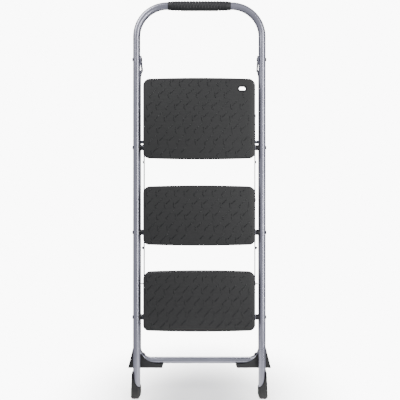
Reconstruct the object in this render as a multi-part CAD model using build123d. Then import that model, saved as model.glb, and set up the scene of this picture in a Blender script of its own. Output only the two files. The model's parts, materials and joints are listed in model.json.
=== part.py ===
"""Three-step folding step ladder, folded flat and standing upright.

+X is across the ladder, +Y goes back from the treads, +Z is up.
Folded, every step stands on edge between the legs, its standing surface facing -Y.
Depths ("behind") are measured back from the front frame's centre plane.
"""
import os
from math import acos, atan2, cos, degrees, hypot, radians, sin, tan

from build123d import *

# Front frame
front_tube_radius = 12.7
tube_wall = 1.2
leg_x = 220.0
hand_bar_z = 1371.0
hand_bend_radius = 108.0
leg_end_z = 24.0
frame_pivot_z = 1183.0

# Rear frame
rear_tube_radius = 11.1
rear_behind = 27.0
rear_bar_z = 118.0
rear_bend_radius = 46.0
rear_tube_top_z = 1128.0
flat_start_z = 1152.0
flat_width = 24.0
flat_inner_x = 203.2
flat_outer_x = 207.0
eye_radius = 13.0

# Steps: height of the pivot, depth in front of it and depth behind it when open
steps = {
    "top": (874.0, 42.0, 240.0),
    "middle": (577.0, 44.0, 165.0),
    "bottom": (280.0, 44.0, 165.0),
}
tread_half_width = 194.0
tread_skin = 3.0
tread_front = -28.0
deck_thickness = 4.5
skirt_depth = 24.0
edge_crown = 4.0
rear_corner_radius = 23.0
nose_corner_radius = 20.0
rim_radius = 2.5
tray_gauge = 1.2
tray_gap = 0.5
tray_lip = -8.0
bead_radius = 4.0
bead_half_length = 150.0
pivot_boss_radius = 9.0
pivot_boss_end_x = 197.0
slot_x = 149.0
slot_reach = 202.0
slot_length = 23.0
slot_width = 12.0
slot_clear = 3.0
screw_x = 160.0
screw_from_nose = 24.0
screw_from_rear = 32.0
boss_clear = 1.5
relief_length = 56.0
relief_play = 1.5
link_ear_radius = 12.0
pivot_ear_radius = 14.0

# Linkage: where the link rivets sit on each step, and the open pose
link_reach = 113.3
link_behind = 16.0
bar_width = 12.0
bar_gauge = 3.0
bar_inner_x = 194.6
bumper_radius = 5.0
button_z = 824.0
button_height = 3.5
barrel_z = 520.0
barrel_height = 7.0
stop_pin_radius = 2.0
drag_inner_x = 191.0
drag_end_radius = 7.0
front_lean = 24.5

# Fasteners and bushes
rivet_radius = 4.0
link_rivet_radius = 3.5
head_radius = 6.0
link_head_radius = 5.5
head_height = 2.2
head_lift = 0.5
spacer_radius = 9.5
bore_play = 0.08
seat_play = 0.05
link_bore_radius = link_rivet_radius + bore_play
side_play = 0.3
screw_radius = 2.0

# Hand grip
grip_length = 220.0
grip_radius = 15.2
rib_radius = 17.0
rib_pitch = 10.4
rib_count = 19
collar_length = 9.0
collar_radius = 14.6

# Feet
front_foot_outer = 19.2
front_foot_inner = 15.0
front_foot_half_depth = 16.5
front_foot_tip_z = 88.6
front_foot_low_z = 35.0
rear_sole_z = 93.0
rear_foot_outer_x = 252.5
rear_foot_inner_x = 127.0
rear_foot_top_z = 168.0
rear_foot_wall = 4.0
rear_foot_back = rear_behind + rear_tube_radius + rear_foot_wall
rear_foot_front = front_tube_radius + 0.5

# Open pose. Each frame's soles come down level, so the rear frame's lean follows the front one's.
pivot_height = frame_pivot_z * cos(radians(front_lean)) - front_foot_half_depth * sin(radians(front_lean))
rear_drop = frame_pivot_z - rear_sole_z
rear_lean = degrees(acos(pivot_height / hypot(rear_drop, rear_behind)) - atan2(rear_behind, rear_drop))
rear_swing = front_lean + rear_lean
step_swing = 90.0 - front_lean
top_pivot_z = steps["top"][0]


def turned(behind, up, angle):
    """Point (behind, up) turned about X by an angle in degrees."""
    turn = radians(angle)
    return behind * cos(turn) - up * sin(turn), behind * sin(turn) + up * cos(turn)


def stud_drop():
    """Distance of the drag link's stud below the frame pivot that closes the link in both end poses."""
    sums = []
    for step_turn, frame_turn in ((0.0, 0.0), (-step_swing, rear_swing)):
        rivet_back, rivet_up = turned(link_behind, link_reach, step_turn)
        base_back, base_up = turned(rear_behind, 0.0, frame_turn)
        down_back, down_up = turned(0.0, -1.0, frame_turn)
        gap_back = rivet_back - base_back
        gap_up = top_pivot_z + rivet_up - frame_pivot_z - base_up
        sums.append((gap_back ** 2 + gap_up ** 2, gap_back * down_back + gap_up * down_up))
    folded, opened = sums
    return (opened[0] - folded[0]) / (2.0 * (opened[1] - folded[1]))


stud_z = frame_pivot_z - stud_drop()
folded_link = (rear_behind - link_behind, stud_z - top_pivot_z - link_reach)
drag_length = hypot(*folded_link)

# The stud as the open top step sees it, which gives the drag link's turn on that step
open_stud = turned(rear_behind, stud_z - frame_pivot_z, rear_swing)
open_stud_on_step = turned(open_stud[0], open_stud[1] + frame_pivot_z - top_pivot_z, step_swing)
open_link = (open_stud_on_step[0] - link_behind, open_stud_on_step[1] - link_reach)
drag_swing = degrees(atan2(open_link[1], open_link[0]) - atan2(folded_link[1], folded_link[0]))

# The row's origin is under the middle of the folded ladder's depth
depth_middle = (tread_front + rear_foot_back) / 2.0


def x_round(radius, x_from, x_to, behind, z):
    """Round bar along X."""
    middle = Pos((x_from + x_to) / 2.0, behind, z)
    return middle * Rot(0, 90, 0) * Cylinder(radius, abs(x_to - x_from))


def x_plate(outline, x_from, x_to):
    """Plate across X from an outline drawn in (behind, z)."""
    return extrude(Plane.YZ.offset(x_from) * outline, amount=x_to - x_from, dir=(1, 0, 0))


def y_plate(outline, front, back):
    """Plate across Y from an outline drawn in (x, z)."""
    return extrude(Plane.XZ.offset(-back) * outline, amount=back - front, dir=(0, -1, 0))


def head(radius, x_under, x_top, behind, z):
    """Domed rivet head, its flat side at x_under."""
    button = x_round(radius, x_under, x_top, behind, z)
    rim = button.edges().filter_by(GeomType.CIRCLE).sort_by(lambda edge: abs(edge.center().X - x_top))[0]
    return fillet(rim, abs(x_top - x_under) * 0.7)


def pair(side):
    """The piece on the +X side and its mirror image on the -X side."""
    return [side, mirror(side, about=Plane.YZ)]


def write(node, solids):
    """Write one node, set back so that the origin is under the middle of the folded ladder."""
    placed = [Pos(0, -depth_middle, 0) * solid for solid in solids]
    shape = placed[0] if len(placed) == 1 else Compound(children=placed)
    export_step(shape, f"parts/{node}.step")


def write_sides(node, side):
    """Write the +X piece as NODE_right and its mirror image as NODE_left."""
    for name, solid in zip(("right", "left"), pair(side)):
        write(f"{node}_{name}", [solid])


def bent_tube(corners, bend_radius, radius):
    """Hollow tube bent round two corners."""
    path = FilletPolyline(*corners, radius=bend_radius)
    start = Plane(origin=path @ 0, z_dir=path % 0)
    outer = sweep(start * Circle(radius), path=path)
    bore = sweep(start * Circle(radius - tube_wall), path=path)
    return outer - bore


def leg_corners(behind, low, high, bar):
    """Corner points of a U-shaped frame whose cross-bar is at height bar."""
    end = low if bar == high else high
    points = [(-leg_x, end), (-leg_x, bar), (leg_x, bar), (leg_x, end)]
    return [(x, behind, z) for x, z in points]


def front_frame_tube():
    corners = leg_corners(0.0, leg_end_z, hand_bar_z, hand_bar_z)
    tube = bent_tube(corners, hand_bend_radius, front_tube_radius)
    for z in [frame_pivot_z] + [pivot for pivot, _, _ in steps.values()]:
        for hole in pair(x_round(rivet_radius + seat_play, leg_x - 20, leg_x + 20, 0.0, z)):
            tube -= hole
    return tube


def hand_grip():
    """Sleeve with round ribs and a plain collar at each end, bored for the hand bar."""
    sleeve = x_round(grip_radius, -grip_length / 2 + 2, grip_length / 2 - 2, 0.0, hand_bar_z)
    first = -rib_pitch * (rib_count - 1) / 2
    for index in range(rib_count):
        x = first + index * rib_pitch
        rib = x_round(rib_radius, x - rib_pitch * 0.3, x + rib_pitch * 0.3, 0.0, hand_bar_z)
        sleeve += fillet(rib.edges().filter_by(GeomType.CIRCLE), rib_radius - grip_radius)
    collar_start = grip_length / 2 - collar_length
    for collar in pair(x_round(collar_radius, collar_start, grip_length / 2, 0.0, hand_bar_z)):
        sleeve += collar
    return sleeve - x_round(front_tube_radius + seat_play, -grip_length, grip_length, 0.0, hand_bar_z)


def front_foot():
    """Boot with a top that sweeps down inwards, and a sole that lies level when the frame leans back."""
    x_inner = leg_x - front_foot_inner
    x_outer = leg_x + front_foot_outer
    chamfer = 5.0
    tip_x = x_outer - 4.5
    profile = make_face([
        Line((x_inner + chamfer, 0), (x_outer - chamfer / 2, 0)),
        Line((x_outer - chamfer / 2, 0), (x_outer, chamfer)),
        Line((x_outer, chamfer), (tip_x, front_foot_tip_z)),
        Line((tip_x, front_foot_tip_z), (tip_x - 2, front_foot_tip_z)),
        ThreePointArc(
            (tip_x - 2, front_foot_tip_z), (leg_x + 5.5, front_foot_low_z + 22), (x_inner, front_foot_low_z)
        ),
        Line((x_inner, front_foot_low_z), (x_inner, chamfer * 2)),
        Line((x_inner, chamfer * 2), (x_inner + chamfer, 0)),
    ])
    boot = y_plate(profile, -front_foot_half_depth, front_foot_half_depth)
    column = RectangleRounded(front_foot_outer + front_foot_inner, 2 * front_foot_half_depth, 11)
    boot &= Pos((x_inner + x_outer) / 2, 0, 0) * extrude(column, amount=front_foot_tip_z + 5)
    boot -= Pos(leg_x, 0, leg_end_z + 50) * Cylinder(front_tube_radius + seat_play, 100)
    slope = tan(radians(front_lean))
    rise = 2 * front_foot_half_depth * slope
    wedge = Polygon(
        (-front_foot_half_depth, 0), (-front_foot_half_depth, -5), (front_foot_half_depth, -5),
        (front_foot_half_depth, rise), align=None,
    )
    return boot - x_plate(wedge, x_inner - 1, x_outer + 1)


def rear_frame_tube():
    corners = leg_corners(rear_behind, rear_bar_z, rear_tube_top_z, rear_bar_z)
    tube = bent_tube(corners, rear_bend_radius, rear_tube_radius)
    flat_x = (flat_inner_x + flat_outer_x) / 2
    gauge = flat_outer_x - flat_inner_x
    neck = loft([
        Pos(leg_x, rear_behind, rear_tube_top_z) * Circle(rear_tube_radius),
        Pos(flat_x, rear_behind, flat_start_z) * Rot(0, 0, 90) * SlotOverall(flat_width, gauge),
    ])
    eye = Pos(0, frame_pivot_z) * Circle(eye_radius)
    root = Pos(rear_behind, flat_start_z) * Rectangle(flat_width - gauge, 6)
    arm = x_plate(make_hull((eye + root).edges()), flat_inner_x, flat_outer_x)
    arm -= x_round(rivet_radius + bore_play, flat_inner_x - 1, flat_outer_x + 1, 0.0, frame_pivot_z)
    for piece in pair(neck + arm):
        tube += piece
    for hole in pair(x_round(link_rivet_radius + seat_play, leg_x - 20, leg_x + 20, rear_behind, stud_z)):
        tube -= hole
    for rivet in pair(rear_foot_rivet(seat_play)):
        tube -= rivet
    return tube


def bend_point(radius):
    """Point on the +X bend of the rear bar, at a radius from the bend's centre, on its diagonal."""
    centre_x = leg_x - rear_bend_radius
    centre_z = rear_bar_z + rear_bend_radius
    reach = radius * cos(radians(45))
    return centre_x + reach, rear_behind, centre_z - reach


def rear_foot_rivet(play=0.0):
    """Rivet through the bend, out into the boot; its head is on the inside of the bend."""
    head_top = bend_point(rear_bend_radius - rear_tube_radius - head_lift - head_height)
    outward = Plane(origin=head_top, z_dir=(1, 0, -1))
    shank = outward * Cylinder(rivet_radius - 0.5 + play, 30, align=(Align.CENTER, Align.CENTER, Align.MIN))
    if play:
        return shank
    button = outward * Cylinder(head_radius - 1, head_height, align=(Align.CENTER, Align.CENTER, Align.MIN))
    return shank + fillet(button.edges().filter_by(GeomType.CIRCLE)[-1:], 1.0)


def rear_foot():
    """Boot round the outside of the bend, with a sole that lies level when the rear frame is out."""
    blank_z = rear_sole_z - 8
    inner_tip = (rear_foot_inner_x, rear_bar_z - 7)
    toe = (rear_foot_outer_x, rear_sole_z + 4)
    outer_top = (leg_x + rear_tube_radius + rear_foot_wall, rear_foot_top_z)
    inner_top = (leg_x - rear_tube_radius - rear_foot_wall, rear_foot_top_z - 27)
    profile = make_face([
        Line(inner_tip, (rear_foot_inner_x + 9, blank_z)),
        Line((rear_foot_inner_x + 9, blank_z), (rear_foot_outer_x - 3, blank_z)),
        Line((rear_foot_outer_x - 3, blank_z), toe),
        Line(toe, outer_top),
        Line(outer_top, inner_top),
        ThreePointArc(inner_top, (leg_x - 44, rear_bar_z - 1), inner_tip),
    ])
    boot = y_plate(profile, rear_foot_front, rear_foot_back)
    boot = fillet(boot.edges().filter_by(Axis.Y), 1.5)
    corners = leg_corners(rear_behind, rear_bar_z, rear_tube_top_z, rear_bar_z)
    path = FilletPolyline(*corners, radius=rear_bend_radius)
    start = Plane(origin=path @ 0, z_dir=path % 0)
    boot -= sweep(start * Circle(rear_tube_radius + seat_play), path=path)
    boot -= rear_foot_rivet(seat_play)
    drop = tan(radians(rear_lean))
    half = 20.0
    wedge = Polygon(
        (rear_behind - half, rear_sole_z + half * drop), (rear_behind - half, blank_z - 10),
        (rear_behind + half, blank_z - 10), (rear_behind + half, rear_sole_z - half * drop), align=None,
    )
    return boot - x_plate(wedge, rear_foot_inner_x - 1, rear_foot_outer_x + 1)


def step_outline(pivot_z, nose, rear):
    """Plan of a tread, with crowned long edges and rounded corners."""
    low = pivot_z - nose
    high = pivot_z + rear
    half = tread_half_width
    plan = make_face([
        Line((-half, low + edge_crown), (-half, high - edge_crown)),
        ThreePointArc((-half, high - edge_crown), (0, high), (half, high - edge_crown)),
        Line((half, high - edge_crown), (half, low + edge_crown)),
        ThreePointArc((half, low + edge_crown), (0, low), (-half, low + edge_crown)),
    ])
    plan = fillet(plan.vertices().group_by(Axis.Y)[-1], rear_corner_radius)
    return fillet(plan.vertices().group_by(Axis.Y)[0], nose_corner_radius)


def screw_places(pivot_z, nose, rear):
    """Where the tread's screws stand, as (x, z)."""
    rows = (pivot_z - nose + screw_from_nose, pivot_z + rear - screw_from_rear)
    return [(side * screw_x, z) for side in (-1, 1) for z in rows]


def drag_link_relief(pivot_z):
    """Block that clears the skirt round the drag link's open position."""
    front = open_stud_on_step[0] - drag_end_radius - relief_play
    middle_z = pivot_z + open_stud_on_step[1] - relief_length / 4
    return Pos(tread_half_width, front / 2, middle_z) * Box(2 * tread_skin + 0.4, -front, relief_length)


def tread(name):
    """Moulded deck with a skirt all round, cut away round the pivot bosses and the drag links."""
    pivot_z, nose, rear = steps[name]
    outline = step_outline(pivot_z, nose, rear)
    deck_back = tread_front + deck_thickness
    skirt_back = tread_front + skirt_depth
    block = y_plate(outline, tread_front, skirt_back)
    block = fillet(block.faces().sort_by(Axis.Y)[0].edges(), rim_radius)
    block -= y_plate(offset(outline, amount=-tread_skin), deck_back, skirt_back + 1)
    arch_radius = pivot_boss_radius + boss_clear
    for arch in pair(x_round(arch_radius, tread_half_width - 5, tread_half_width + 1, 0.0, pivot_z)):
        block -= arch
    for x, z in screw_places(*steps[name]):
        block -= y_plate(Pos(x, z) * Circle(screw_radius + seat_play), deck_back - 3, deck_back + 1)
    if name == "top":
        block -= y_plate(Pos(slot_x, pivot_z + slot_reach) * SlotOverall(slot_length, slot_width), -40, 0)
        for notch in pair(drag_link_relief(pivot_z)):
            block -= notch
    return block


def step_frame(name):
    """Pressed steel tray under the tread, with cheeks that carry the pivots."""
    pivot_z, nose, rear = steps[name]
    outline = step_outline(pivot_z, nose, rear)
    outer = offset(outline, amount=-tread_skin - tray_gap)
    inner = offset(outline, amount=-tread_skin - tray_gap - tray_gauge)
    plate_front = tread_front + deck_thickness
    tray = y_plate(outer, plate_front, tray_lip)
    tray -= y_plate(inner, plate_front + tray_gauge, tray_lip + 1)
    bead_count = 4 if name == "top" else 3
    for index in range(bead_count):
        bead_z = pivot_z - nose + (nose + rear) * (index + 1) / (bead_count + 1)
        bead_x = slot_x - slot_length if name == "top" and index == bead_count - 1 else bead_half_length
        tray += x_round(bead_radius, -bead_x, bead_x, plate_front + tray_gauge, bead_z) & y_plate(
            outline, plate_front + tray_gauge, 0
        )
    cheek_x = tread_half_width - tread_skin - tray_gap
    shoulder = Pos(plate_front + 4, pivot_z + link_reach / 2) * Rectangle(6, link_reach + 44)
    pivot_ear = Pos(0, pivot_z) * Circle(pivot_ear_radius)
    link_ear = Pos(link_behind, pivot_z + link_reach) * Circle(link_ear_radius)
    cheek_outline = make_hull((shoulder + pivot_ear + link_ear).edges())
    cheek = x_plate(cheek_outline, cheek_x - tray_gauge, cheek_x)
    cheek += x_round(pivot_boss_radius, cheek_x, pivot_boss_end_x, 0.0, pivot_z)
    cheek -= x_round(rivet_radius + bore_play, cheek_x - 5, pivot_boss_end_x + 1, 0.0, pivot_z)
    cheek -= x_round(
        link_rivet_radius + seat_play, cheek_x - 5, cheek_x + 5, link_behind, pivot_z + link_reach
    )
    for side in pair(cheek):
        tray += side
    for x, z in screw_places(*steps[name]):
        tray -= y_plate(Pos(x, z) * Circle(screw_radius + seat_play), plate_front - 1, plate_front + 3)
    if name == "top":
        cut = SlotOverall(slot_length + slot_clear, slot_width + slot_clear)
        tray -= y_plate(Pos(slot_x, pivot_z + slot_reach) * cut, plate_front - 1, plate_front + 8)
    return tray


def tread_screws(name):
    """Pan-head screws up through the tray into the tread."""
    plate_back = tread_front + deck_thickness + tray_gauge
    screws = []
    for x, z in screw_places(*steps[name]):
        shank = y_plate(Pos(x, z) * Circle(screw_radius), plate_back - tray_gauge - 2.5, plate_back)
        cap = y_plate(Pos(x, z) * Circle(2 * screw_radius), plate_back, plate_back + 2.4)
        screws.append(shank + fillet(cap.edges().sort_by(Axis.Y)[-1:], 1.2))
    return screws


def link_rivet(name):
    """Rivet that the link bar turns on; the bottom one runs on outwards as a stop pin."""
    z = steps[name][0] + link_reach
    cheek_inner = tread_half_width - tread_skin - tray_gap - tray_gauge
    head_under = bar_inner_x + bar_gauge + side_play
    head_top = head_under + head_height - 0.5
    rivet = x_round(link_rivet_radius, cheek_inner - 1, head_under + 1, link_behind, z)
    rivet += head(link_head_radius, cheek_inner, cheek_inner - head_height + 0.5, link_behind, z)
    rivet += head(link_head_radius, head_under, head_top, link_behind, z)
    if name == "bottom":
        rivet += x_round(stop_pin_radius, head_under + 1, leg_x - front_tube_radius - 0.8, link_behind, z)
    return rivet


def link_washer(name):
    """Packing washer that holds the link bar off the cheek."""
    cheek_outer = tread_half_width - tread_skin - tray_gap
    z = steps[name][0] + link_reach
    ring = x_round(8.0, cheek_outer, bar_inner_x - side_play, link_behind, z)
    return ring - x_round(link_rivet_radius + seat_play, cheek_outer - 1, bar_inner_x + 1, link_behind, z)


def link_bar():
    """Flat bar with round ends that joins the three steps."""
    low = steps["bottom"][0] + link_reach
    high = steps["top"][0] + link_reach
    shape = Pos(link_behind, (low + high) / 2) * Rot(0, 0, 90) * SlotCenterToCenter(high - low, bar_width)
    bar = x_plate(shape, bar_inner_x, bar_inner_x + bar_gauge)
    for pivot_z, _, _ in steps.values():
        rivet_z = pivot_z + link_reach
        bar -= x_round(link_bore_radius, bar_inner_x - 1, bar_inner_x + 5, link_behind, rivet_z)
    return bar


def bar_bumpers():
    """Low button above the middle step and taller barrel below it, both on the bar's outer face."""
    face_x = bar_inner_x + bar_gauge
    button = head(bumper_radius, face_x, face_x + button_height, link_behind, button_z)
    barrel = head(bumper_radius, face_x, face_x + barrel_height, link_behind, barrel_z)
    return [button, barrel]


def drag_link():
    """Short flat link; its far end closes on the rear frame's stud."""
    ends = Pos(link_behind, top_pivot_z + link_reach) * Circle(drag_end_radius)
    ends += Pos(rear_behind, stud_z) * Circle(drag_end_radius)
    link = x_plate(make_hull(ends.edges()), drag_inner_x, drag_inner_x + bar_gauge)
    rivet_z = top_pivot_z + link_reach
    return link - x_round(link_bore_radius, drag_inner_x - 1, drag_inner_x + 5, link_behind, rivet_z)


def drag_link_stud():
    """Shouldered stud through the rear leg; it stops just short of the drag link."""
    tip_x = drag_inner_x + bar_gauge + side_play
    shoulder_x = bar_inner_x + bar_gauge + 0.4
    leg_outer = leg_x + rear_tube_radius
    shoulder = x_round(5.5, shoulder_x, leg_x - 5, rear_behind, stud_z)
    shoulder -= Pos(leg_x, rear_behind, stud_z) * Cylinder(rear_tube_radius + seat_play, 30)
    stud = shoulder + x_round(link_rivet_radius, tip_x, leg_outer + 1, rear_behind, stud_z)
    return stud + head(head_radius - 1, leg_outer, leg_outer + head_height - 0.5, rear_behind, stud_z)


def leg_spacer(z):
    """Bush between a leg and a step, its outer end hollowed to sit on the leg."""
    bush = x_round(spacer_radius, pivot_boss_end_x + side_play, leg_x - 7, 0.0, z)
    bush -= Pos(leg_x, 0, z) * Cylinder(front_tube_radius + seat_play, 40)
    return bush - x_round(rivet_radius + seat_play, pivot_boss_end_x, leg_x, 0.0, z)


def leg_rivet(z, inner_under):
    """Rivet through a front leg, with its inner head's flat side at inner_under."""
    outer = leg_x + front_tube_radius
    rivet = x_round(rivet_radius, inner_under - 1, outer + 1, 0.0, z)
    rivet += head(head_radius, inner_under, inner_under - head_height, 0.0, z)
    return rivet + head(head_radius, outer, outer + head_height, 0.0, z)


os.makedirs("parts", exist_ok=True)

write("front_frame_tube", [front_frame_tube()])
write("hand_grip", [hand_grip()])
write_sides("front_foot", front_foot())
write("frame_pivot_rivets", pair(leg_rivet(frame_pivot_z, flat_inner_x - side_play)))
cheek_inner_x = tread_half_width - tread_skin - tray_gap - tray_gauge
pivot_heights = [pivot for pivot, _, _ in steps.values()]
write("step_pivot_rivets", [r for z in pivot_heights for r in pair(leg_rivet(z, cheek_inner_x - side_play))])
write("step_spacers", [bush for z in pivot_heights for bush in pair(leg_spacer(z))])

write("rear_frame_tube", [rear_frame_tube()])
write_sides("rear_foot", rear_foot())
write("rear_foot_rivets", pair(rear_foot_rivet()))
write("drag_link_studs", pair(drag_link_stud()))

for step_name in steps:
    write(f"{step_name}_tread", [tread(step_name)])
    write(f"{step_name}_step_frame", [step_frame(step_name)])
    write(f"{step_name}_tread_screws", tread_screws(step_name))
    write(f"{step_name}_link_rivets", pair(link_rivet(step_name)))
    if step_name != "top":
        write(f"{step_name}_link_washers", pair(link_washer(step_name)))

write_sides("link_bar", link_bar())
for bumper_side, solids in zip(("right", "left"), zip(*[pair(bumper) for bumper in bar_bumpers()])):
    write(f"bar_bumpers_{bumper_side}", list(solids))
write_sides("drag_link", drag_link())

print(f"open: rear frame {rear_swing:.3f}, steps {step_swing:.3f}, drag link {drag_swing:.3f} degrees")
print(f"stud z {stud_z:.2f}, drag link {drag_length:.2f}, origin set back {depth_middle:.2f}")
print("open stud on the top step", [round(value, 2) for value in open_stud_on_step])
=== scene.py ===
import json
from math import atan2, cos, pi, sin

import bpy
from mathutils import Matrix, Vector


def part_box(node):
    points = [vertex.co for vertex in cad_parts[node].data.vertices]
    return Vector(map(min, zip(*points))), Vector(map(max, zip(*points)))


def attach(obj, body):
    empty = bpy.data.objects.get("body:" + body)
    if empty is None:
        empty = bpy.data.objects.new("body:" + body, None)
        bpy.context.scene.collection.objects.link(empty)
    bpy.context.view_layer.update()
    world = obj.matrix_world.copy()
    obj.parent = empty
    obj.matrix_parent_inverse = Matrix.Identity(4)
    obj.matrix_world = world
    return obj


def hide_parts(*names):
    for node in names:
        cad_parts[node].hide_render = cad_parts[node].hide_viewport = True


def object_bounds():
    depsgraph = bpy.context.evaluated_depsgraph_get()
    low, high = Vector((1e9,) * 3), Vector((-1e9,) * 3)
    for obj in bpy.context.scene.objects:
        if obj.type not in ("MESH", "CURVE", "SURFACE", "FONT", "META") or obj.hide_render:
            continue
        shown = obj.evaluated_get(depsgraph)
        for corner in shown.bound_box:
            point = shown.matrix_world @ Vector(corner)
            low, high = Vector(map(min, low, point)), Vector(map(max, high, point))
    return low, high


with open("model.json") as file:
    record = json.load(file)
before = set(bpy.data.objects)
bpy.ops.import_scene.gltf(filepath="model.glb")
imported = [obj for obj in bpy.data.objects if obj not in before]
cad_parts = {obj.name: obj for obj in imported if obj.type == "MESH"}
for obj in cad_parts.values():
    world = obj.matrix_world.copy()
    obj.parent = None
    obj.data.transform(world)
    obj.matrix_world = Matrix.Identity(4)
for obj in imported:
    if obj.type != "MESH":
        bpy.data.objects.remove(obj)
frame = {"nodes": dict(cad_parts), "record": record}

cad_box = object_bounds()

# ---------------------------------------------------------------- camera
# Level camera in front of the folded ladder, a little to its right, so that both legs stand plumb.
# The whole ladder just fills the height of the picture.
picture_height = 1.41
camera_distance = 1.55
camera_place = Vector((0.05, -camera_distance, 0.76))
picture_centre = Vector((0.002, 0.0, 0.69))

bpy.ops.object.camera_add(location=camera_place, rotation=(pi / 2, 0.0, 0.0))
camera = bpy.context.object
camera.data.lens = camera.data.sensor_width * camera_distance / picture_height
camera.data.shift_x = (picture_centre.x - camera_place.x) / picture_height
camera.data.shift_y = (picture_centre.z - camera_place.z) / picture_height
bpy.context.scene.camera = camera

# ---------------------------------------------------------------- light
# Soft studio light: a pale surround that dims towards the far side, a soft box above and to the
# left, and a tall one on the right that draws the long highlights down the round tubes.
near_side = -0.3
far_side = 0.95
near_strength = 0.55
far_strength = 0.05
white_wall_strength = 12.0
ladder_middle = Vector((0.0, 0.0, 0.75))

world = bpy.data.worlds.new("studio_surround")
bpy.context.scene.world = world
world.use_nodes = True
studio = world.node_tree
surround = studio.nodes["Background"]
heading = studio.nodes.new("ShaderNodeTexCoord")
parts = studio.nodes.new("ShaderNodeSeparateXYZ")
studio.links.new(heading.outputs["Generated"], parts.inputs["Vector"])
falloff = studio.nodes.new("ShaderNodeMapRange")
falloff.inputs["From Min"].default_value = near_side
falloff.inputs["From Max"].default_value = far_side
falloff.inputs["To Min"].default_value = near_strength
falloff.inputs["To Max"].default_value = far_strength
studio.links.new(parts.outputs["Y"], falloff.inputs["Value"])
surround.inputs["Color"].default_value = (0.9, 0.91, 1.0, 1.0)
studio.links.new(falloff.outputs["Result"], surround.inputs["Strength"])
white_wall = studio.nodes.new("ShaderNodeBackground")
white_wall.inputs["Strength"].default_value = white_wall_strength
seen = studio.nodes.new("ShaderNodeLightPath")
either = studio.nodes.new("ShaderNodeMixShader")
studio.links.new(seen.outputs["Is Camera Ray"], either.inputs["Fac"])
studio.links.new(surround.outputs["Background"], either.inputs[1])
studio.links.new(white_wall.outputs["Background"], either.inputs[2])
studio.links.new(either.outputs["Shader"], studio.nodes["World Output"].inputs["Surface"])

# Name, place, width and height, and power of each soft box
soft_boxes = (
    ("left_box", (-1.6, -1.6, 3.0), (1.5, 1.5), 55.0),
    ("right_box", (1.25, -1.6, 0.9), (0.5, 2.6), 40.0),
    ("far_box", (0.0, 2.0, 3.2), (2.0, 1.0), 60.0),
)
for name, stand, size, watts in soft_boxes:
    bpy.ops.object.light_add(type="AREA", location=stand)
    lamp = bpy.context.object
    lamp.name = name
    lamp.data.shape = "RECTANGLE"
    lamp.data.size, lamp.data.size_y = size
    lamp.data.energy = watts
    aim = ladder_middle - Vector(stand)
    lamp.rotation_euler = aim.to_track_quat("-Z", "Y").to_euler()


# ---------------------------------------------------------------- floor
# Plain pale studio floor under the ladder. It is not part of the object.
def linear(code):
    """An sRGB hex colour as linear RGBA."""
    parts = [int(code[index:index + 2], 16) / 255 for index in (1, 3, 5)]
    return tuple(c / 12.92 if c <= 0.04045 else ((c + 0.055) / 1.055) ** 2.4 for c in parts) + (1.0,)


def add_node(tree, kind, settings, links):
    """One node, its settings and sockets set by name, each link given as socket: (node, output)."""
    node = tree.nodes.new(kind)
    for name, value in settings.items():
        if name in node.inputs:
            node.inputs[name].default_value = value
        else:
            setattr(node, name, value)
    for name, (source, output) in links.items():
        tree.links.new(source.outputs[output], node.inputs[name])
    return node


def new_surface(name, **constants):
    """A material with its shader's constant sockets set; returns it, its tree, shader and place node."""
    material = bpy.data.materials.new(name)
    material.use_nodes = True
    tree = material.node_tree
    shader = tree.nodes["Principled BSDF"]
    for socket, value in constants.items():
        shader.inputs[socket.replace("_", " ")].default_value = value
    place = add_node(tree, "ShaderNodeTexCoord", {}, {})
    return material, tree, shader, place


def paint(material, *nodes):
    """Give CAD nodes this finish in place of their own."""
    for node in nodes:
        slots = frame["nodes"][node].data.materials
        slots.clear()
        slots.append(material)


def start(add, name, **settings):
    """A new primitive on its own in the selection, its place and turn already in its mesh."""
    if bpy.context.object and bpy.context.object.mode != "OBJECT":
        bpy.ops.object.mode_set(mode="OBJECT")
    bpy.ops.object.select_all(action="DESELECT")
    add(**settings)
    piece = bpy.context.object
    piece.name = name
    bpy.ops.object.transform_apply(location=True, rotation=True, scale=True)
    return piece


# Matt painted board: nearly white, with a faint roller mottle. It thins away to nothing at its
# edge, so that it runs into the white surround without a line.
floor_solid = 0.05
floor_edge = 0.6
floor_margin = 0.1
floor_gap = 0.0005

board_white, tree, shader, place = new_surface(
    "roller_painted_board", Roughness=0.75, Emission_Color=linear("#FFFFFF"), Emission_Strength=0.6
)
mottle = add_node(tree, "ShaderNodeTexNoise", {"Scale": 6.0, "Detail": 3.0}, {"Vector": (place, "Object")})
board_tone = add_node(
    tree, "ShaderNodeMixRGB", {"Color1": linear("#F4F4F5"), "Color2": linear("#FBFBFB")},
    {"Fac": (mottle, "Fac")},
)
tree.links.new(board_tone.outputs["Color"], shader.inputs["Base Color"])
from_middle = add_node(tree, "ShaderNodeVectorMath", {"operation": "LENGTH"}, {"Vector": (place, "Object")})
thinning = add_node(
    tree, "ShaderNodeMapRange",
    {"interpolation_type": "SMOOTHSTEP", "From Min": floor_solid, "From Max": floor_edge, "To Min": 1.0,
     "To Max": 0.0},
    {"Value": (from_middle, "Value")},
)
tree.links.new(thinning.outputs["Result"], shader.inputs["Alpha"])
floor = start(
    bpy.ops.mesh.primitive_circle_add, "studio_floor", vertices=96, radius=floor_edge + floor_margin,
    fill_type="NGON", location=(0.0, 0.0, cad_box[0].z - floor_gap),
)
floor.data.materials.append(board_white)

# ---------------------------------------------------------------- frames and step trays
# Round steel tube and pressed steel trays, stove-enamelled in silver. The enamel lies a little
# uneven, with fine aluminium flake in it, and pulls thin and darker where it was handled.
flake_size = 0.0008
peel_size = 0.004

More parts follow.
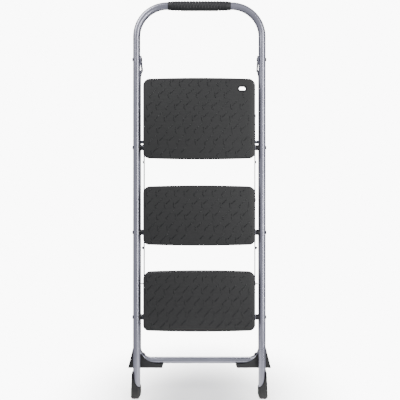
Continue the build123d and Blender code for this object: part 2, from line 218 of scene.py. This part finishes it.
silver_enamel, tree, shader, place = new_surface(
    "silver_stove_enamel", Metallic=0.82, Roughness=0.3, Coat_Weight=0.35, Coat_Roughness=0.12
)
flake = add_node(
    tree, "ShaderNodeTexNoise", {"Scale": 1 / flake_size, "Detail": 1.0}, {"Vector": (place, "Object")}
)
cloud = add_node(tree, "ShaderNodeTexNoise", {"Scale": 9.0, "Detail": 4.0}, {"Vector": (place, "Object")})
flake_tone = add_node(
    tree, "ShaderNodeMixRGB", {"Color1": linear("#9A9AA6"), "Color2": linear("#B9B9C6")},
    {"Fac": (flake, "Fac")},
)
cloud_tone = add_node(
    tree, "ShaderNodeMixRGB", {"blend_type": "MULTIPLY", "Fac": 0.25},
    {"Color1": (flake_tone, "Color"), "Color2": (cloud, "Fac")},
)
tree.links.new(cloud_tone.outputs["Color"], shader.inputs["Base Color"])
dull = add_node(
    tree, "ShaderNodeMapRange", {"From Min": 0.3, "From Max": 0.7, "To Min": 0.24, "To Max": 0.36},
    {"Value": (cloud, "Fac")},
)
tree.links.new(dull.outputs["Result"], shader.inputs["Roughness"])
peel = add_node(
    tree, "ShaderNodeTexNoise", {"Scale": 1 / peel_size, "Detail": 2.0}, {"Vector": (place, "Object")}
)
peel_bump = add_node(
    tree, "ShaderNodeBump", {"Strength": 0.06, "Distance": 0.0004}, {"Height": (peel, "Fac")}
)
tree.links.new(peel_bump.outputs["Normal"], shader.inputs["Normal"])
paint(
    silver_enamel, "front_frame_tube", "rear_frame_tube", "top_step_frame", "middle_step_frame",
    "bottom_step_frame",
)

# ---------------------------------------------------------------- links, studs and screws
# Flat bar, studs and screws in mild steel, bright zinc plated. The rolled bar keeps a fine
# lengthwise grain under the plating, and the plating clouds in patches.
grain_width = 0.0006

zinc_plate, tree, shader, place = new_surface("bright_zinc_plate", Metallic=1.0, Roughness=0.32)
stretch = add_node(
    tree, "ShaderNodeMapping", {"Scale": (1 / grain_width, 1 / grain_width, 12.0)},
    {"Vector": (place, "Object")},
)
grain = add_node(tree, "ShaderNodeTexNoise", {"Scale": 1.0, "Detail": 2.0}, {"Vector": (stretch, "Vector")})
spangle = add_node(tree, "ShaderNodeTexNoise", {"Scale": 60.0, "Detail": 3.0}, {"Vector": (place, "Object")})
zinc_tone = add_node(
    tree, "ShaderNodeMixRGB", {"Color1": linear("#A9ABB0"), "Color2": linear("#C9CBD0")},
    {"Fac": (spangle, "Fac")},
)
tree.links.new(zinc_tone.outputs["Color"], shader.inputs["Base Color"])
zinc_dull = add_node(
    tree, "ShaderNodeMapRange", {"From Min": 0.3, "From Max": 0.7, "To Min": 0.22, "To Max": 0.42},
    {"Value": (spangle, "Fac")},
)
tree.links.new(zinc_dull.outputs["Result"], shader.inputs["Roughness"])
grain_bump = add_node(
    tree, "ShaderNodeBump", {"Strength": 0.12, "Distance": 0.0002}, {"Height": (grain, "Fac")}
)
tree.links.new(grain_bump.outputs["Normal"], shader.inputs["Normal"])
paint(
    zinc_plate, "link_bar_left", "link_bar_right", "drag_link_left", "drag_link_right", "drag_link_studs",
    "top_link_rivets", "middle_link_rivets", "bottom_link_rivets", "middle_link_washers",
    "bottom_link_washers", "top_tread_screws", "middle_tread_screws", "bottom_tread_screws",
)

# ---------------------------------------------------------------- pivot rivets
# Steel rivets, chemically blacked. The black is thin, so it shows brown-grey where the snap
# that closed the head has rubbed it.
black_oxide, tree, shader, place = new_surface("black_oxide_steel", Metallic=0.9, Roughness=0.38)
rub = add_node(tree, "ShaderNodeTexNoise", {"Scale": 220.0, "Detail": 3.0}, {"Vector": (place, "Object")})
oxide_tone = add_node(
    tree, "ShaderNodeMixRGB", {"Color1": linear("#232326"), "Color2": linear("#4A4A50")},
    {"Fac": (rub, "Fac")},
)
tree.links.new(oxide_tone.outputs["Color"], shader.inputs["Base Color"])
rub_bump = add_node(
    tree, "ShaderNodeBump", {"Strength": 0.15, "Distance": 0.0003}, {"Height": (rub, "Fac")}
)
tree.links.new(rub_bump.outputs["Normal"], shader.inputs["Normal"])
paint(black_oxide, "frame_pivot_rivets", "step_pivot_rivets", "rear_foot_rivets")

# ---------------------------------------------------------------- bushes and stop buttons
# Turned acetal: black, close-grained and slightly waxy, with faint tool rings.
acetal, tree, shader, place = new_surface("black_acetal", Roughness=0.42, IOR=1.48)
ring_wave = add_node(
    tree, "ShaderNodeTexWave", {"Scale": 260.0, "Distortion": 0.4, "bands_direction": "X"},
    {"Vector": (place, "Object")},
)
smut = add_node(tree, "ShaderNodeTexNoise", {"Scale": 90.0, "Detail": 2.0}, {"Vector": (place, "Object")})
acetal_tone = add_node(
    tree, "ShaderNodeMixRGB", {"Color1": linear("#141415"), "Color2": linear("#262628")},
    {"Fac": (smut, "Fac")},
)
tree.links.new(acetal_tone.outputs["Color"], shader.inputs["Base Color"])
ring_bump = add_node(
    tree, "ShaderNodeBump", {"Strength": 0.08, "Distance": 0.0002}, {"Height": (ring_wave, "Fac")}
)
tree.links.new(ring_bump.outputs["Normal"], shader.inputs["Normal"])
paint(acetal, "step_spacers", "bar_bumpers_left", "bar_bumpers_right")


# ---------------------------------------------------------------- hand grip
# Soft PVC sleeve pushed over the top bar. Its ribs stand proud above and below and run out
# across the front, and the middle of the underside is filled for the fingers.
def edit(piece):
    """Make the piece the only one selected, and edit its points."""
    if bpy.context.object and bpy.context.object.mode != "OBJECT":
        bpy.ops.object.mode_set(mode="OBJECT")
    bpy.ops.object.select_all(action="DESELECT")
    piece.select_set(True)
    bpy.context.view_layer.objects.active = piece
    bpy.ops.object.mode_set(mode="EDIT")
    bpy.ops.mesh.select_mode(type="VERT")


def pick(piece, wanted):
    """Select the points of the piece that stand where a test says."""
    edit(piece)
    bpy.ops.mesh.select_all(action="DESELECT")
    bpy.ops.object.mode_set(mode="OBJECT")
    for vertex in piece.data.vertices:
        vertex.select = wanted(vertex.co)
    bpy.ops.object.mode_set(mode="EDIT")


def done(piece, angle):
    """Face the shell outwards and shade it smooth up to an angle."""
    edit(piece)
    bpy.ops.mesh.select_all(action="SELECT")
    bpy.ops.mesh.remove_doubles(threshold=0.00002)
    bpy.ops.mesh.normals_make_consistent(inside=False)
    bpy.ops.object.mode_set(mode="OBJECT")
    bpy.ops.object.shade_smooth_by_angle(angle=angle)


hair = 0.00005
groove_slack = 0.0003
soft_edge = 0.9
grip_low, grip_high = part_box("hand_grip")
grip_axis = (grip_low + grip_high) / 2
grip_crest = (grip_high.z - grip_low.z) / 2
grip_bore = 0.0128
grip_valley = 0.0146
grip_end = 0.0142
end_round = 0.0012
collar = 0.0105
collar_gap = 0.003
rib_count = 19
rib_pitch = 0.0104
rib_steps = 6
rib_fullness = 0.6
end_rib_rise = 0.45
rise_per_rib = 0.2

grip = start(
    bpy.ops.mesh.primitive_circle_add, "ribbed_hand_grip", vertices=56, radius=grip_bore,
    location=(grip_low.x, grip_axis.y, grip_axis.z), rotation=(0.0, pi / 2, 0.0),
)
edit(grip)
bpy.ops.mesh.select_all(action="SELECT")
ring_x, ring_radius = grip_low.x, grip_bore
first_rib = grip_axis.x - rib_pitch * (rib_count - 1) / 2
profile = [
    (grip_low.x, grip_end - end_round),
    (grip_low.x + end_round / 3, grip_end - end_round / 3),
    (grip_low.x + end_round, grip_end),
    (grip_low.x + collar - collar_gap, grip_end),
]
for rib in range(rib_count):
    # The outermost ribs start low and the rest rise to the full height
    rise = min(1.0, end_rib_rise + rise_per_rib * min(rib, rib_count - 1 - rib))
    for step in range(rib_steps + 1):
        swell = sin(pi * step / rib_steps) ** rib_fullness
        along = (step + 0.5) / (rib_steps + 1) - 0.5
        rib_x = first_rib + (rib + along) * rib_pitch
        profile.append((rib_x, grip_valley + (grip_crest - grip_valley) * rise * swell))
profile += [
    (grip_high.x - collar + collar_gap, grip_end),
    (grip_high.x - end_round, grip_end),
    (grip_high.x - end_round / 3, grip_end - end_round / 3),
    (grip_high.x, grip_end - end_round),
    (grip_high.x, grip_bore),
]
for next_x, next_radius in profile:
    bpy.ops.mesh.extrude_edges_move(TRANSFORM_OT_translate={"value": (next_x - ring_x, 0.0, 0.0)})
    stretch_by = next_radius / ring_radius
    bpy.ops.transform.resize(
        value=(1.0, stretch_by, stretch_by), center_override=(next_x, grip_axis.y, grip_axis.z)
    )
    ring_x, ring_radius = next_x, next_radius
bpy.ops.mesh.select_all(action="DESELECT")
pick(grip, lambda at: Vector((at.y - grip_axis.y, at.z - grip_axis.z)).length < grip_bore + hair)
bpy.ops.mesh.bridge_edge_loops()
bpy.ops.object.mode_set(mode="OBJECT")

# The grooves are filled part of the way up across the front, and nearly flush under the fingers.
# Depths are shares of a rib's height below its crest, and turns are sines from level.
ribbed_half_length = 0.1045
finger_half_length = 0.064
front_share = 0.675
front_depth = 0.45
finger_start = 0.35
finger_ramp = 1.6
finger_depth = 0.06
rib_lean = 0.004
for vertex in grip.data.vertices:
    along, across, up = vertex.co - grip_axis
    reach = (across ** 2 + up ** 2) ** 0.5
    if reach < grip_valley - groove_slack or abs(along) > ribbed_half_length:
        continue
    turn = atan2(up, -across)
    front_fill = front_share * max(0.0, cos(turn)) ** 2
    finger_fill = 0.0
    if abs(along) < finger_half_length:
        finger_fill = min(1.0, finger_ramp * max(0.0, -sin(turn) - finger_start) / (1 - finger_start))
    depth = front_depth if front_fill >= finger_fill else finger_depth
    target = grip_crest - (grip_crest - grip_valley) * depth
    wanted_reach = reach + (target - reach) * max(front_fill, finger_fill)
    vertex.co.x += rib_lean * max(0.0, cos(turn)) * sin(turn)
    vertex.co.y = grip_axis.y + across * wanted_reach / reach
    vertex.co.z = grip_axis.z + up * wanted_reach / reach
done(grip, soft_edge)

grip_skin_grain = 0.0012
soft_pvc, tree, shader, place = new_surface("soft_black_pvc", Roughness=0.55, IOR=1.53, Sheen_Weight=0.1)
skin = add_node(
    tree, "ShaderNodeTexNoise", {"Scale": 1 / grip_skin_grain, "Detail": 3.0}, {"Vector": (place, "Object")}
)
handled = add_node(tree, "ShaderNodeTexNoise", {"Scale": 40.0, "Detail": 3.0}, {"Vector": (place, "Object")})
pvc_tone = add_node(
    tree, "ShaderNodeMixRGB", {"Color1": linear("#141415"), "Color2": linear("#242426")},
    {"Fac": (handled, "Fac")},
)
tree.links.new(pvc_tone.outputs["Color"], shader.inputs["Base Color"])
pvc_dull = add_node(
    tree, "ShaderNodeMapRange", {"To Min": 0.45, "To Max": 0.68}, {"Value": (handled, "Fac")}
)
tree.links.new(pvc_dull.outputs["Result"], shader.inputs["Roughness"])
skin_bump = add_node(
    tree, "ShaderNodeBump", {"Strength": 0.2, "Distance": 0.0003}, {"Height": (skin, "Fac")}
)
tree.links.new(skin_bump.outputs["Normal"], shader.inputs["Normal"])
grip.data.materials.append(soft_pvc)
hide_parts("hand_grip")
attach(grip, "front_frame")

# ---------------------------------------------------------------- treads
# Three polypropylene treads, moulded with a skirt that snaps over the steel tray. The deck
# carries low anti-slip ribs: short strokes with a hooked foot, every third one a sickle with a
# long slanting tail.
deck_drop = 0.0008
skin_thickness = 0.003
deck_thickness = 0.0037
crown = 0.004
rear_corner = 0.023
nose_corner = 0.020
rim = 0.0042
column_cuts = 15
widest_facet = 0.1
arc_steps = 8
near = 0.0005
crisp_edge = 0.5
deck_facing = -0.95

joints = {joint["name"]: joint for joint in frame["record"]["behaviour"]["joints"]}
pivot_z = {step: joints[f"{step}_step_fold"]["pos_m"][2] for step in ("top", "middle", "bottom")}
pivot_y = joints["top_step_fold"]["pos_m"][1]

# Ribs: their section, how the rows and columns run, and where each row starts
rib_width = 0.0021
rib_root = 0.0003
rib_draft = 0.0005
rib_shoulder = 0.0004
row_pitch = 0.0405
column_pitch = 0.0323
column_count = 12
first_row = 0.0085
row_starts = (-0.1654, -0.1750, -0.1787, -0.1850, -0.1810, -0.1717, -0.1650)
sickle_columns = (1, 0, 2, 1, 2, 0, 1)

# Centre lines of the strokes, across and up from the foot of the hook
strokes = {
    "hook": [(0.0, 0.0205), (0.0, 0.0056), (0.0014, 0.0028), (0.0055, 0.0)],
    "slash": [(0.0250, 0.0340), (0.0060, 0.0150)],
    "short_slash": [(0.0165, 0.0255), (0.0080, 0.0170)],
    "sickle": [(0.0270, 0.0340), (0.0008, 0.0078), (0.0001, 0.0050), (0.0018, 0.0026), (0.0055, 0.0)],
    "short_sickle": [(0.0180, 0.0250), (0.0008, 0.0078), (0.0001, 0.0050), (0.0018, 0.0026), (0.0055, 0.0)],
}


def raised_mark(kind, deck_y, crest_y):
    """One rib: a strip drawn out along its centre line, raised and drawn in at the top."""
    path = [Vector((x, 0.0, z)) for x, z in strokes[kind]]
    first = path[1] - path[0]
    buried_y = deck_y + rib_root
    mark = start(
        bpy.ops.mesh.primitive_plane_add, f"{kind}_mark", size=1.0, rotation=(pi / 2, 0.0, 0.0),
        location=(0.0, buried_y, 0.0),
    )
    edit(mark)
    bpy.ops.mesh.select_all(action="SELECT")
    bpy.ops.transform.resize(value=(rib_width, 1.0, first.length), center_override=(0.0, buried_y, 0.0))
    bpy.ops.transform.translate(value=(0.0, 0.0, -first.length / 2))
    bpy.ops.object.mode_set(mode="OBJECT")
    mark.data.transform(Matrix.Rotation(atan2(-first.x, -first.z), 4, "Y"))
    mark.data.transform(Matrix.Translation(path[0]))
    for here, ahead in zip(path[1:], path[2:]):
        way = (ahead - here).normalized()
        side = Vector((way.z, 0.0, -way.x)) * rib_width / 2
        flat_here = Vector((here.x, buried_y, here.z))
        pick(mark, lambda at: (at - flat_here).length < rib_width * 0.75)
        bpy.ops.mesh.extrude_edges_move(TRANSFORM_OT_translate={"value": tuple(ahead - here)})
        bpy.ops.object.mode_set(mode="OBJECT")
        ends = [vertex for vertex in mark.data.vertices if vertex.select]
        ends.sort(key=lambda vertex: (vertex.co - ahead).dot(side))
        for vertex, sign in zip(ends, (-1, 1)):
            vertex.co.x = ahead.x + side.x * sign
            vertex.co.z = ahead.z + side.z * sign
    edit(mark)
    bpy.ops.mesh.select_all(action="SELECT")
    bpy.ops.mesh.extrude_region_move(TRANSFORM_OT_translate={"value": (0.0, crest_y - buried_y, 0.0)})
    pick(mark, lambda at: at.y < crest_y + hair)
    bpy.ops.mesh.inset(thickness=rib_draft, depth=0.0)
    bpy.ops.object.mode_set(mode="OBJECT")
    for vertex in mark.data.vertices:
        if vertex.co.y < crest_y + hair and not vertex.select:
            vertex.co.y += rib_shoulder
    done(mark, soft_edge)
    return mark


def pick_edges(piece, wanted):
    """Select the edges of the piece whose two ends pass a test."""
    edit(piece)
    bpy.ops.mesh.select_mode(type="EDGE")
    bpy.ops.mesh.select_all(action="DESELECT")
    bpy.ops.object.mode_set(mode="OBJECT")
    points = piece.data.vertices
    for edge in piece.data.edges:
        edge.select = wanted(points[edge.vertices[0]].co, points[edge.vertices[1]].co)
    bpy.ops.object.mode_set(mode="EDIT")


def cut_away(piece, cutter):
    """Take the cutter's shape out of the piece, and do away with the cutter."""
    bpy.ops.object.mode_set(mode="OBJECT")
    bpy.ops.object.select_all(action="DESELECT")
    bpy.context.view_layer.objects.active = piece
    piece.select_set(True)
    knife = piece.modifiers.new("cut", "BOOLEAN")
    knife.operation = "DIFFERENCE"
    knife.solver = "EXACT"
    knife.object = cutter
    bpy.ops.object.modifier_apply(modifier=knife.name)
    bpy.data.objects.remove(cutter)


def rounded_block(name, centre, size, corner):
    """Block with its edges along Y rounded, for a slot or its lip."""
    block = start(bpy.ops.mesh.primitive_cube_add, name, size=1.0, location=centre)
    edit(block)
    bpy.ops.mesh.select_all(action="SELECT")
    bpy.ops.transform.resize(value=size, center_override=centre)
    pick_edges(block, lambda a, b: abs(a.y - b.y) > size[1] / 2)
    bpy.ops.mesh.bevel(offset=corner, segments=arc_steps, affect="EDGES")
    bpy.ops.object.mode_set(mode="OBJECT")
    return block


def tread_blank(step):
    """Deck and skirt in one shell, from a flat sheet."""
    lowest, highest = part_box(f"{step}_tread")
    deck_y = lowest.y + deck_drop
    half = highest.x
    depth = highest.z - lowest.z - 2 * crown
    middle = Vector((0.0, deck_y, (lowest.z + highest.z) / 2))
    blank = start(
        bpy.ops.mesh.primitive_plane_add, f"{step}_tread_moulding", size=1.0, location=middle,
        rotation=(pi / 2, 0.0, 0.0),
    )
    edit(blank)
    bpy.ops.mesh.select_all(action="SELECT")
    bpy.ops.transform.resize(value=(2 * half, 1.0, depth), center_override=middle)
    pick_edges(blank, lambda a, b: abs(a.x - b.x) > half)
    bpy.ops.mesh.subdivide(number_cuts=column_cuts)
    for column in range(1, column_cuts // 2 + 2):
        x = half * (1 - 2 * column / (column_cuts + 1))
        for side in (-1, 1):
            pick(blank, lambda at: abs(abs(at.x) - x) < near and (at.z - middle.z) * side > 0)
            bpy.ops.transform.translate(value=(0.0, 0.0, side * crown * (1 - (x / half) ** 2)))
    for side, corner in ((1, rear_corner), (-1, nose_corner)):
        pick(blank, lambda at: abs(at.x) > half - near and (at.z - middle.z) * side > 0)
        bpy.ops.mesh.bevel(offset=corner, segments=arc_steps, affect="VERTICES")
    edit(blank)
    bpy.ops.mesh.select_all(action="SELECT")
    bpy.ops.mesh.extrude_region_move(TRANSFORM_OT_translate={"value": (0.0, highest.y - deck_y, 0.0)})
    pick(blank, lambda at: at.y > highest.y - hair)
    bpy.ops.mesh.inset(thickness=skin_thickness, depth=0.0)
    bpy.ops.mesh.extrude_region_move(
        TRANSFORM_OT_translate={"value": (0.0, deck_y + deck_thickness - highest.y, 0.0)}
    )
    pick_edges(
        blank,
        lambda a, b: max(a.y, b.y) < deck_y + hair
        and ((a - b).length < widest_facet or min(abs(a.x), abs(b.x)) > half - near),
    )
    bpy.ops.mesh.bevel(offset=rim, segments=4, affect="EDGES")
    bpy.ops.object.mode_set(mode="OBJECT")
    return blank


# Cuts in the skirt: round arches over the pivots, and a relief for each drag link
skirt_x = 0.194
arch_radius = 0.0105
arch_depth = 0.012
relief_size = (0.0064, 0.012, 0.056)
relief_before_pivot = 0.0055
relief_above_pivot = 0.1894


def cut_skirt(step, blank):
    """Arches in the skirt round the pivot bosses, and room for the drag links under the top tread."""
    for side in (-1, 1):
        arch = start(
            bpy.ops.mesh.primitive_cylinder_add, "arch", vertices=40, radius=arch_radius, depth=arch_depth,
            location=(side * skirt_x, pivot_y, pivot_z[step]), rotation=(0.0, pi / 2, 0.0),
        )
        cut_away(blank, arch)
        if step == "top":
            middle = Vector(
                (side * skirt_x, pivot_y - relief_before_pivot, pivot_z[step] + relief_above_pivot)
            )
            relief = start(bpy.ops.mesh.primitive_cube_add, "relief", size=1.0)
            edit(relief)
            bpy.ops.mesh.select_all(action="SELECT")
            bpy.ops.transform.resize(value=relief_size, center_override=(0.0, 0.0, 0.0))
            bpy.ops.transform.translate(value=middle)
            bpy.ops.object.mode_set(mode="OBJECT")
            cut_away(blank, relief)


tread_grain = 0.0011
tread_pp, tree, shader, place = new_surface("spark_grained_polypropylene", Roughness=0.5, IOR=1.49)
spark = add_node(
    tree, "ShaderNodeTexNoise", {"Scale": 1 / tread_grain, "Detail": 2.0}, {"Vector": (place, "Object")}
)
scuff_map = add_node(
    tree, "ShaderNodeMapping", {"Rotation": (0.0, -pi / 4, 0.0), "Scale": (26.0, 26.0, 180.0)},
    {"Vector": (place, "Object")},
)
scuff = add_node(tree, "ShaderNodeTexNoise", {"Scale": 1.0, "Detail": 4.0}, {"Vector": (scuff_map, "Vector")})
pp_tone = add_node(
    tree, "ShaderNodeMixRGB", {"Color1": linear("#20201F"), "Color2": linear("#292928")},
    {"Fac": (scuff, "Fac")},
)
tree.links.new(pp_tone.outputs["Color"], shader.inputs["Base Color"])
pp_dull = add_node(tree, "ShaderNodeMapRange", {"To Min": 0.42, "To Max": 0.62}, {"Value": (scuff, "Fac")})
tree.links.new(pp_dull.outputs["Result"], shader.inputs["Roughness"])
spark_bump = add_node(
    tree, "ShaderNodeBump", {"Strength": 0.25, "Distance": 0.0002}, {"Height": (spark, "Fac")}
)
tree.links.new(spark_bump.outputs["Normal"], shader.inputs["Normal"])

# The ribs, rim and slot lip of the same moulding are polished by feet and hands, so they are
# smoother. Their darker colour is painted shade, drawing the shaded ribs and the dark outline of each tread
# and its slot.
shade_darkened_pp, tree, shader, place = new_surface("polished_shade_darkened_polypropylene", Roughness=0.36, IOR=1.49)
shade_tone_mottle = add_node(tree, "ShaderNodeTexNoise", {"Scale": 120.0, "Detail": 2.0}, {"Vector": (place, "Object")})
painted_shade_tone = add_node(
    tree, "ShaderNodeMixRGB", {"Color1": linear("#0A0A0B"), "Color2": linear("#101011")},
    {"Fac": (shade_tone_mottle, "Fac")},
)
tree.links.new(painted_shade_tone.outputs["Color"], shader.inputs["Base Color"])

# Slot in the top deck, with a low lip round it
slot_x = 0.149
slot_above_pivot = 0.202
slot_middle_depth = 0.01
slot_size = (0.023, 0.06, 0.012)
slot_corner = 0.0058
lip_size = (0.032, 0.0018, 0.021)
lip_corner = 0.0100
lip_before_middle = 0.0098

# Where ribs are left out: round the slot, at the nose corners, past the sides, on the plain field
# at the nose, and in the rear margin, where the last row is shorter
slot_field = (0.129, 0.172)
slot_field_below = 0.012
nose_corner_x = 0.176
nose_corner_shift = 0.002
side_limit = 0.186
plain_field = (-0.080, 0.050)
rear_margin = 0.008
row_height = 0.036
last_row_height = 0.028


def rib_places(step, lowest, highest, slot_z):
    """Kind, row, column and foot of each rib on a tread."""
    row_count = 1 + int((highest.z - lowest.z - last_row_height - first_row) / row_pitch)
    for row in range(row_count):
        foot_z = lowest.z + first_row + row * row_pitch
        last_row = foot_z + row_height > highest.z - rear_margin
        for column in range(column_count):
            x = row_starts[row] + column * column_pitch
            on_plain_field = row == 0 and plain_field[0] < x < plain_field[1]
            wanted = ["hook", "short_slash" if last_row else "slash"]
            if column % 3 == sickle_columns[row]:
                wanted = ["short_sickle" if last_row else "sickle"]
            for kind in wanted:
                right = x + max(point[0] for point in strokes[kind])
                crest_z = foot_z + strokes[kind][0][1]
                beside_slot = right > slot_field[0] and x < slot_field[1]
                on_slot = step == "top" and beside_slot and crest_z > slot_z - slot_field_below
                on_corner = row == 0 and abs(x + nose_corner_shift) > nose_corner_x
                left_out = on_slot or on_corner or (on_plain_field and kind != "slash")
                if right < side_limit and not left_out:
                    yield kind, row, column, Vector((x, 0.0, foot_z))


for step in ("top", "middle", "bottom"):
    lowest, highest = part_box(f"{step}_tread")
    deck_y = lowest.y + deck_drop
    blank = tread_blank(step)
    cut_skirt(step, blank)
    slot_centre = Vector((slot_x, deck_y + slot_middle_depth, pivot_z[step] + slot_above_pivot))
    if step == "top":
        lip_centre = slot_centre - Vector((0.0, lip_before_middle, 0.0))
        lip = rounded_block("slot_lip", lip_centre, lip_size, lip_corner)
        for cut_piece in (blank, lip):
            cut_away(cut_piece, rounded_block("slot", slot_centre, slot_size, slot_corner))
        done(lip, crisp_edge)
    blank.data.materials.append(tread_pp)
    blank.data.materials.append(shade_darkened_pp)
    done(blank, crisp_edge)
    # Every face that does not look out of the deck, such as the rim bevel and the skirt, takes the
    # painted-shade material, which draws a dark outline round the tread
    for face in blank.data.polygons:
        face.material_index = 0 if face.normal.y < deck_facing else 1

    marks = {kind: raised_mark(kind, deck_y, lowest.y) for kind in strokes}
    # Each rib takes the darker material: painted shade for its shadowed sides
    for mark in marks.values():
        mark.data.materials.append(shade_darkened_pp)
    copies = []
    for kind, row, column, foot in rib_places(step, lowest, highest, slot_centre.z):
        copy = bpy.data.objects.new(f"{kind}_{row}_{column}", marks[kind].data.copy())
        bpy.context.collection.objects.link(copy)
        copy.data.transform(Matrix.Translation(foot))
        copies.append(copy)
    for mark in marks.values():
        bpy.data.objects.remove(mark)

    bpy.ops.object.select_all(action="DESELECT")
    for copy in copies:
        copy.select_set(True)
    if step == "top":
        lip.data.materials.append(shade_darkened_pp)
        lip.select_set(True)
    blank.select_set(True)
    bpy.context.view_layer.objects.active = blank
    bpy.ops.object.join()
    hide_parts(f"{step}_tread")
    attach(blank, f"{step}_step")

# ---------------------------------------------------------------- feet
# Boots moulded in hard black rubber and pushed on, the rear pair riveted through the bend.
# They are satin when new and pick up grey floor dust on the lowest few centimetres.
dust_height = 0.03
boot_grain = 0.0015
boot_rubber, tree, shader, place = new_surface("moulded_black_rubber", Roughness=0.55, IOR=1.52)
pores = add_node(
    tree, "ShaderNodeTexNoise", {"Scale": 1 / boot_grain, "Detail": 3.0}, {"Vector": (place, "Object")}
)
smudge = add_node(tree, "ShaderNodeTexNoise", {"Scale": 45.0, "Detail": 4.0}, {"Vector": (place, "Object")})
boot_tone = add_node(
    tree, "ShaderNodeMixRGB", {"Color1": linear("#131313"), "Color2": linear("#222222")},
    {"Fac": (smudge, "Fac")},
)
split = add_node(tree, "ShaderNodeSeparateXYZ", {}, {"Vector": (place, "Object")})
dust = add_node(
    tree, "ShaderNodeMapRange", {"From Min": 0.0, "From Max": dust_height, "To Min": 0.25, "To Max": 0.0},
    {"Value": (split, "Z")},
)
dusty = add_node(
    tree, "ShaderNodeMixRGB", {"Color2": linear("#5A5855")},
    {"Fac": (dust, "Result"), "Color1": (boot_tone, "Color")},
)
tree.links.new(dusty.outputs["Color"], shader.inputs["Base Color"])
boot_dull = add_node(tree, "ShaderNodeMapRange", {"To Min": 0.42, "To Max": 0.66}, {"Value": (smudge, "Fac")})
tree.links.new(boot_dull.outputs["Result"], shader.inputs["Roughness"])
pore_bump = add_node(
    tree, "ShaderNodeBump", {"Strength": 0.2, "Distance": 0.0003}, {"Height": (pores, "Fac")}
)
tree.links.new(pore_bump.outputs["Normal"], shader.inputs["Normal"])
paint(boot_rubber, "front_foot_left", "front_foot_right", "rear_foot_left", "rear_foot_right")
